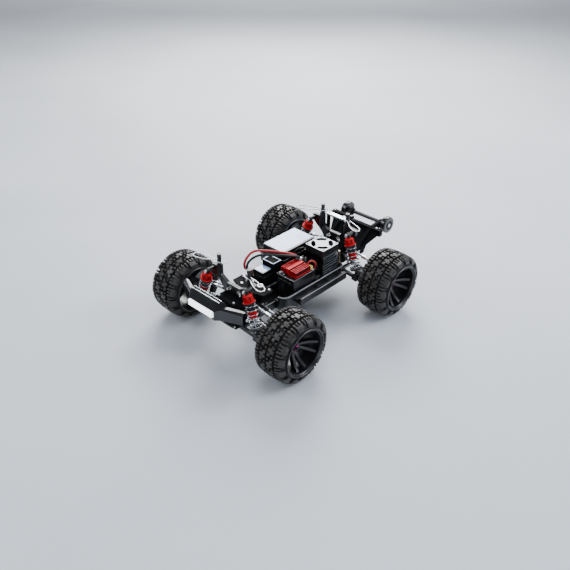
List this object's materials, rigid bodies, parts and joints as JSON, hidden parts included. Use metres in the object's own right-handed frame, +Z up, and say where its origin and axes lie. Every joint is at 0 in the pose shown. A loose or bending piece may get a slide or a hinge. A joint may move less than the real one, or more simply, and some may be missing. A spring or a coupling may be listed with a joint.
{
  "type": "radio-controlled monster truck chassis",
  "caption": "Rolling monster truck chassis with sprung arms, steering, shaft drive, electronics, bumper light bar and wheelie bar.",
  "frame": {"origin": "on the ground, in the middle of the part's length and width", "axes": "+X to the truck's front, +Y to its left, +Z up"},
  "size_m": [0.3614, 0.264, 0.13],
  "materials": {
    "chassis_plastic": "satin moulded black nylon",
    "bumper_plastic": "polished black plastic",
    "light_lens": "milky lens over white LEDs",
    "tyre_rubber": "dark grey rubber tyre bonded to a satin black rim",
    "wheelie_rubber": "black rubber rollers",
    "battery_case": "black hard case with a plain pale label",
    "motor_steel": "steel can on a tan anodised mounting plate",
    "sink_black": "black anodised fins",
    "fan_plastic": "pale grey moulded fan",
    "steel": "bright steel",
    "controller": "black case under a red finned sink",
    "switch_plastic": "white slider",
    "electronics": "black case with a plain label",
    "shock_red": "red anodised",
    "spring_steel": "dark spring steel",
    "lead_silicone": "red and black silicone leads"
  },
  "bodies": {
    "chassis": {"chassis_tub": "chassis_plastic", "front_gearbox": "chassis_plastic", "rear_gearbox": "chassis_plastic", "front_shock_tower": "chassis_plastic", "rear_shock_tower": "chassis_plastic", "front_bumper": "bumper_plastic", "light_bar": "light_lens", "wheelie_bar": "chassis_plastic", "battery_pack": "battery_case", "motor": "motor_steel", "motor_heat_sink": "sink_black", "speed_controller": "controller", "receiver": "electronics", "steering_servo": "electronics", "wiring": "lead_silicone"},
    "arm_fl": {"lower_arm_fl": "chassis_plastic"},
    "hub_fl": {"c_hub_fl": "chassis_plastic"},
    "knuckle_fl": {"knuckle_fl": "chassis_plastic"},
    "wheel_fl": {"wheel_fl": "tyre_rubber"},
    "upper_link_fl": {"upper_link_fl": "steel"},
    "half_shaft_fl": {"half_shaft_fl": "steel"},
    "shock_body_fl": {"shock_body_fl": "shock_red", "shock_spring_fl": "spring_steel"},
    "shock_rod_fl": {"shock_rod_fl": "shock_red"},
    "arm_fr": {"lower_arm_fr": "chassis_plastic"},
    "hub_fr": {"c_hub_fr": "chassis_plastic"},
    "knuckle_fr": {"knuckle_fr": "chassis_plastic"},
    "wheel_fr": {"wheel_fr": "tyre_rubber"},
    "upper_link_fr": {"upper_link_fr": "steel"},
    "half_shaft_fr": {"half_shaft_fr": "steel"},
    "shock_body_fr": {"shock_body_fr": "shock_red", "shock_spring_fr": "spring_steel"},
    "shock_rod_fr": {"shock_rod_fr": "shock_red"},
    "arm_rl": {"lower_arm_rl": "chassis_plastic"},
    "hub_rl": {"hub_carrier_rl": "chassis_plastic"},
    "wheel_rl": {"wheel_rl": "tyre_rubber"},
    "upper_link_rl": {"upper_link_rl": "steel"},
    "half_shaft_rl": {"half_shaft_rl": "steel"},
    "shock_body_rl": {"shock_body_rl": "shock_red", "shock_spring_rl": "spring_steel"},
    "shock_rod_rl": {"shock_rod_rl": "shock_red"},
    "arm_rr": {"lower_arm_rr": "chassis_plastic"},
    "hub_rr": {"hub_carrier_rr": "chassis_plastic"},
    "wheel_rr": {"wheel_rr": "tyre_rubber"},
    "upper_link_rr": {"upper_link_rr": "steel"},
    "half_shaft_rr": {"half_shaft_rr": "steel"},
    "shock_body_rr": {"shock_body_rr": "shock_red", "shock_spring_rr": "spring_steel"},
    "shock_rod_rr": {"shock_rod_rr": "shock_red"},
    "tie_rod_l": {"tie_rod_l": "steel"},
    "tie_rod_r": {"tie_rod_r": "steel"},
    "steering_rack": {"steering_rack": "chassis_plastic"},
    "servo_horn": {"servo_horn": "chassis_plastic"},
    "front_differential": {"front_differential": "steel"},
    "rear_differential": {"rear_differential": "steel"},
    "drive_shaft": {"drive_shaft": "steel"},
    "motor_pinion": {"motor_pinion": "steel"},
    "fan_rotor": {"fan_rotor": "fan_plastic"},
    "wheelie_wheels": {"wheelie_wheels": "wheelie_rubber"},
    "power_switch": {"power_switch": "switch_plastic"}
  },
  "joints": [
    {"name": "arm_fl_swing", "type": "hinge", "parent": "chassis", "child": "arm_fl", "pos_m": [0.12025, 0.022, 0.045], "axis": [1, 0, 0], "range_deg": [-10, 14], "stiffness_Nm_per_rad": 1, "springref_deg": -7.45},
    {"name": "hub_fl_swing", "type": "hinge", "parent": "arm_fl", "child": "hub_fl", "pos_m": [0.12025, 0.082, 0.035], "axis": [1, 0, 0], "range_deg": [-14.5, 10.5]},
    {"name": "knuckle_fl_steer", "type": "hinge", "parent": "hub_fl", "child": "knuckle_fl", "pos_m": [0.12025, 0.091, 0.048], "axis": [0, 0, 1], "range_deg": [-20, 20]},
    {"name": "wheel_fl_spin", "type": "hinge", "parent": "knuckle_fl", "child": "wheel_fl", "pos_m": [0.12025, 0.1055, 0.048], "axis": [0, 1, 0], "continuous": true},
    {"name": "upper_link_fl_swing", "type": "hinge", "parent": "chassis", "child": "upper_link_fl", "pos_m": [0.10925, 0.022, 0.068], "axis": [1, 0, 0], "range_deg": [-10.5, 14.5]},
    {"name": "half_shaft_fl_swing", "type": "hinge", "parent": "chassis", "child": "half_shaft_fl", "pos_m": [0.12025, 0.031, 0.058], "axis": [1, 0, 0], "range_deg": [-10.5, 14.5]},
    {"name": "shock_body_fl_swing", "type": "hinge", "parent": "chassis", "child": "shock_body_fl", "pos_m": [0.13225, 0.037, 0.105], "axis": [1, 0, 0], "range_deg": [-2.1, 2.74]},
    {"name": "shock_rod_fl_slide", "type": "slide", "parent": "shock_body_fl", "child": "shock_rod_fl", "axis": [0, -0.3353, 0.9421], "range_m": [-0.0063, 0.00871], "deforming": ["shock_spring_fl"]},
    {"name": "arm_fr_swing", "type": "hinge", "parent": "chassis", "child": "arm_fr", "pos_m": [0.12025, -0.022, 0.045], "axis": [-1, 0, 0], "range_deg": [-10, 14], "stiffness_Nm_per_rad": 1, "springref_deg": -7.45},
    {"name": "hub_fr_swing", "type": "hinge", "parent": "arm_fr", "child": "hub_fr", "pos_m": [0.12025, -0.082, 0.035], "axis": [-1, 0, 0], "range_deg": [-14.5, 10.5]},
    {"name": "knuckle_fr_steer", "type": "hinge", "parent": "hub_fr", "child": "knuckle_fr", "pos_m": [0.12025, -0.091, 0.048], "axis": [0, 0, 1], "range_deg": [-20.5, 20.5]},
    {"name": "wheel_fr_spin", "type": "hinge", "parent": "knuckle_fr", "child": "wheel_fr", "pos_m": [0.12025, -0.1055, 0.048], "axis": [0, 1, 0], "continuous": true},
    {"name": "upper_link_fr_swing", "type": "hinge", "parent": "chassis", "child": "upper_link_fr", "pos_m": [0.10925, -0.022, 0.068], "axis": [-1, 0, 0], "range_deg": [-10.5, 14.5]},
    {"name": "half_shaft_fr_swing", "type": "hinge", "parent": "chassis", "child": "half_shaft_fr", "pos_m": [0.12025, -0.031, 0.058], "axis": [-1, 0, 0], "range_deg": [-10.5, 14.5]},
    {"name": "shock_body_fr_swing", "type": "hinge", "parent": "chassis", "child": "shock_body_fr", "pos_m": [0.13225, -0.037, 0.105], "axis": [-1, 0, 0], "range_deg": [-2.1, 2.74]},
    {"name": "shock_rod_fr_slide", "type": "slide", "parent": "shock_body_fr", "child": "shock_rod_fr", "axis": [0, 0.3353, 0.9421], "range_m": [-0.0063, 0.00871], "deforming": ["shock_spring_fr"]},
    {"name": "arm_rl_swing", "type": "hinge", "parent": "chassis", "child": "arm_rl", "pos_m": [-0.08575, 0.022, 0.045], "axis": [1, 0, 0], "range_deg": [-10, 14], "stiffness_Nm_per_rad": 1, "springref_deg": -7.45},
    {"name": "hub_rl_swing", "type": "hinge", "parent": "arm_rl", "child": "hub_rl", "pos_m": [-0.08575, 0.082, 0.035], "axis": [1, 0, 0], "range_deg": [-14.5, 10.5]},
    {"name": "wheel_rl_spin", "type": "hinge", "parent": "hub_rl", "child": "wheel_rl", "pos_m": [-0.08575, 0.1055, 0.048], "axis": [0, 1, 0], "continuous": true},
    {"name": "upper_link_rl_swing", "type": "hinge", "parent": "chassis", "child": "upper_link_rl", "pos_m": [-0.09675, 0.022, 0.068], "axis": [1, 0, 0], "range_deg": [-10.5, 14.5]},
    {"name": "half_shaft_rl_swing", "type": "hinge", "parent": "chassis", "child": "half_shaft_rl", "pos_m": [-0.08575, 0.031, 0.058], "axis": [1, 0, 0], "range_deg": [-10.5, 14.5]},
    {"name": "shock_body_rl_swing", "type": "hinge", "parent": "chassis", "child": "shock_body_rl", "pos_m": [-0.07375, 0.037, 0.105], "axis": [1, 0, 0], "range_deg": [-2.1, 2.74]},
    {"name": "shock_rod_rl_slide", "type": "slide", "parent": "shock_body_rl", "child": "shock_rod_rl", "axis": [0, -0.3353, 0.9421], "range_m": [-0.0063, 0.00871], "deforming": ["shock_spring_rl"]},
    {"name": "arm_rr_swing", "type": "hinge", "parent": "chassis", "child": "arm_rr", "pos_m": [-0.08575, -0.022, 0.045], "axis": [-1, 0, 0], "range_deg": [-10, 14], "stiffness_Nm_per_rad": 1, "springref_deg": -7.45},
    {"name": "hub_rr_swing", "type": "hinge", "parent": "arm_rr", "child": "hub_rr", "pos_m": [-0.08575, -0.082, 0.035], "axis": [-1, 0, 0], "range_deg": [-14.5, 10.5]},
    {"name": "wheel_rr_spin", "type": "hinge", "parent": "hub_rr", "child": "wheel_rr", "pos_m": [-0.08575, -0.1055, 0.048], "axis": [0, 1, 0], "continuous": true},
    {"name": "upper_link_rr_swing", "type": "hinge", "parent": "chassis", "child": "upper_link_rr", "pos_m": [-0.09675, -0.022, 0.068], "axis": [-1, 0, 0], "range_deg": [-10.5, 14.5]},
    {"name": "half_shaft_rr_swing", "type": "hinge", "parent": "chassis", "child": "half_shaft_rr", "pos_m": [-0.08575, -0.031, 0.058], "axis": [-1, 0, 0], "range_deg": [-10.5, 14.5]},
    {"name": "shock_body_rr_swing", "type": "hinge", "parent": "chassis", "child": "shock_body_rr", "pos_m": [-0.07375, -0.037, 0.105], "axis": [-1, 0, 0], "range_deg": [-2.1, 2.74]},
    {"name": "shock_rod_rr_slide", "type": "slide", "parent": "shock_body_rr", "child": "shock_rod_rr", "axis": [0, 0.3353, 0.9421], "range_m": [-0.0063, 0.00871], "deforming": ["shock_spring_rr"]},
    {"name": "tie_rod_l_swing", "type": "hinge", "parent": "steering_rack", "child": "tie_rod_l", "pos_m": [0.09925, 0.031, 0.064], "axis": [1, 0, 0], "range_deg": [-10.5, 14.5]},
    {"name": "tie_rod_r_swing", "type": "hinge", "parent": "steering_rack", "child": "tie_rod_r", "pos_m": [0.09925, -0.031, 0.064], "axis": [-1, 0, 0], "range_deg": [-10.5, 14.5]},
    {"name": "steering_rack_slide", "type": "slide", "parent": "chassis", "child": "steering_rack", "axis": [0, 1, 0], "range_m": [-0.00738, 0.00738]},
    {"name": "servo_horn_turn", "type": "hinge", "parent": "chassis", "child": "servo_horn", "pos_m": [0.06025, -0.016, 0.048], "axis": [1, 0, 0], "range_deg": [-27.17, 27.17]},
    {"name": "front_differential_spin", "type": "hinge", "parent": "chassis", "child": "front_differential", "pos_m": [0.12025, 0, 0.058], "axis": [0, 1, 0], "continuous": true},
    {"name": "rear_differential_spin", "type": "hinge", "parent": "chassis", "child": "rear_differential", "pos_m": [-0.08575, 0, 0.058], "axis": [0, 1, 0], "continuous": true},
    {"name": "drive_shaft_spin", "type": "hinge", "parent": "chassis", "child": "drive_shaft", "pos_m": [0.01725, 0, 0.058], "axis": [1, 0, 0], "continuous": true},
    {"name": "motor_pinion_spin", "type": "hinge", "parent": "chassis", "child": "motor_pinion", "pos_m": [-0.06575, 0.0175, 0.0659], "axis": [1, 0, 0], "continuous": true},
    {"name": "fan_rotor_spin", "type": "hinge", "parent": "chassis", "child": "fan_rotor", "pos_m": [-0.03435, 0.021, 0.098], "axis": [0, 0, 1], "continuous": true},
    {"name": "wheelie_wheels_spin", "type": "hinge", "parent": "chassis", "child": "wheelie_wheels", "pos_m": [-0.16775, 0, 0.087], "axis": [0, 1, 0], "continuous": true},
    {"name": "power_switch_slide", "type": "slide", "parent": "chassis", "child": "power_switch", "axis": [0, 1, 0], "range_m": [0, 0.003]}
  ],
  "couplings": [
    {"joint": "hub_fl_swing", "follows": "arm_fl_swing", "ratio": -1},
    {"joint": "upper_link_fl_swing", "follows": "arm_fl_swing", "ratio": 1},
    {"joint": "half_shaft_fl_swing", "follows": "arm_fl_swing", "ratio": 1},
    {"joint": "shock_body_fl_swing", "follows": "arm_fl_swing", "ratio": 0.15966},
    {"joint": "shock_rod_fl_slide", "follows": "arm_fl_swing", "m_per_rad": 0.034408},
    {"joint": "hub_fr_swing", "follows": "arm_fr_swing", "ratio": -1},
    {"joint": "knuckle_fr_steer", "follows": "knuckle_fl_steer", "ratio": 1},
    {"joint": "wheel_fr_spin", "follows": "wheel_fl_spin", "ratio": 1},
    {"joint": "upper_link_fr_swing", "follows": "arm_fr_swing", "ratio": 1},
    {"joint": "half_shaft_fr_swing", "follows": "arm_fr_swing", "ratio": 1},
    {"joint": "shock_body_fr_swing", "follows": "arm_fr_swing", "ratio": 0.15966},
    {"joint": "shock_rod_fr_slide", "follows": "arm_fr_swing", "m_per_rad": 0.034408},
    {"joint": "hub_rl_swing", "follows": "arm_rl_swing", "ratio": -1},
    {"joint": "wheel_rl_spin", "follows": "wheel_fl_spin", "ratio": 1},
    {"joint": "upper_link_rl_swing", "follows": "arm_rl_swing", "ratio": 1},
    {"joint": "half_shaft_rl_swing", "follows": "arm_rl_swing", "ratio": 1},
    {"joint": "shock_body_rl_swing", "follows": "arm_rl_swing", "ratio": 0.15966},
    {"joint": "shock_rod_rl_slide", "follows": "arm_rl_swing", "m_per_rad": 0.034408},
    {"joint": "hub_rr_swing", "follows": "arm_rr_swing", "ratio": -1},
    {"joint": "wheel_rr_spin", "follows": "wheel_fl_spin", "ratio": 1},
    {"joint": "upper_link_rr_swing", "follows": "arm_rr_swing", "ratio": 1},
    {"joint": "half_shaft_rr_swing", "follows": "arm_rr_swing", "ratio": 1},
    {"joint": "shock_body_rr_swing", "follows": "arm_rr_swing", "ratio": 0.15966},
    {"joint": "shock_rod_rr_slide", "follows": "arm_rr_swing", "m_per_rad": 0.034408},
    {"joint": "tie_rod_l_swing", "follows": "arm_fl_swing", "ratio": 1},
    {"joint": "tie_rod_r_swing", "follows": "arm_fr_swing", "ratio": 1},
    {"joint": "steering_rack_slide", "follows": "knuckle_fl_steer", "m_per_rad": -0.020576},
    {"joint": "servo_horn_turn", "follows": "knuckle_fl_steer", "ratio": 1.3337},
    {"joint": "front_differential_spin", "follows": "wheel_fl_spin", "ratio": 1},
    {"joint": "rear_differential_spin", "follows": "wheel_fl_spin", "ratio": 1},
    {"joint": "drive_shaft_spin", "follows": "wheel_fl_spin", "ratio": 3},
    {"joint": "motor_pinion_spin", "follows": "wheel_fl_spin", "ratio": -9}
  ]
}
